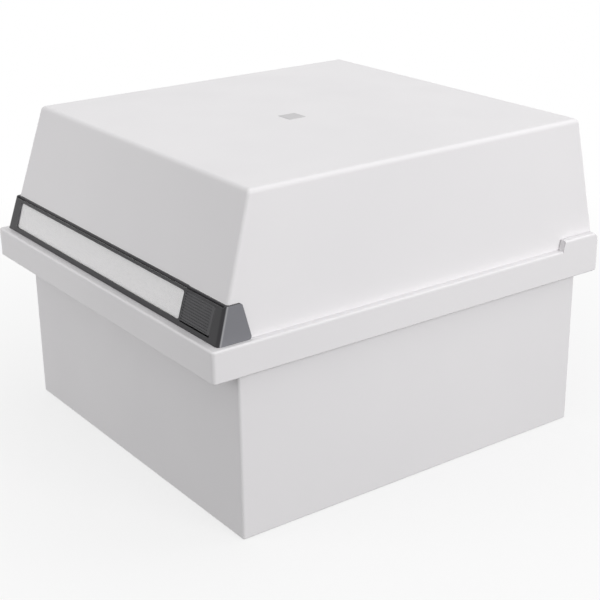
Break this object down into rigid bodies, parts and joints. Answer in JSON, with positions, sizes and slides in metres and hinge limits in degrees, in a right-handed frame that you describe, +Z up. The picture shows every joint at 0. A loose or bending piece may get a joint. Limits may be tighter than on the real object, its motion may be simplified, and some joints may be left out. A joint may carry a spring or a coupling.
{
  "type": "index card box",
  "caption": "Desk box for A5 index cards: upright tray with a collar rim, hinged leaning lid, label holder with a thumb catch, and a sliding card follower inside.",
  "frame": {"origin": "on the table plane, under the middle of the rim's outline", "axes": "+X along the label towards the thumb pad, +Y from the label side to the hinge, +Z up"},
  "size_m": [0.234, 0.257, 0.1791],
  "materials": {
    "shell_plastic": "satin",
    "holder_plastic": "matte",
    "badge_plastic": "satin",
    "rod_steel": "satin",
    "rail_steel": "satin",
    "plate_paint": "satin",
    "label_paper": "matte",
    "clear_film": "gloss"
  },
  "bodies": {
    "base": {"tray": "shell_plastic", "hinge_rod": "rod_steel", "floor_rail": "rail_steel", "rail_rivets": "rod_steel"},
    "lid": {"lid": "shell_plastic", "lid_badge": "badge_plastic", "label_holder": "holder_plastic", "catch_pin": "rod_steel"},
    "catch": {"catch_button": "holder_plastic", "catch_spring": "rail_steel"},
    "label": {"label_card": "label_paper", "label_film": "clear_film"},
    "follower": {"follower_foot": "holder_plastic", "follower_plate": "plate_paint", "follower_rivets": "rod_steel"}
  },
  "joints": [
    {"name": "lid_hinge", "type": "hinge", "parent": "base", "child": "lid", "pos_m": [0, 0.12427, 0.1104], "axis": [-1, 0, 0], "range_deg": [0, 105]},
    {"name": "catch_press", "type": "hinge", "parent": "lid", "child": "catch", "pos_m": [0.0922, -0.11286, 0.12084], "axis": [1, 0, 0], "range_deg": [0, 6], "stiffness_Nm_per_rad": 0.25, "springref_deg": -3.44, "deforming": ["catch_spring"]},
    {"name": "label_slide", "type": "slide", "parent": "lid", "child": "label", "axis": [0, 0.3005, 0.9538], "range_m": [0, 0.022]},
    {"name": "follower_slide", "type": "slide", "parent": "base", "child": "follower", "axis": [0, -1, 0], "range_m": [0, 0.15]}
  ]
}
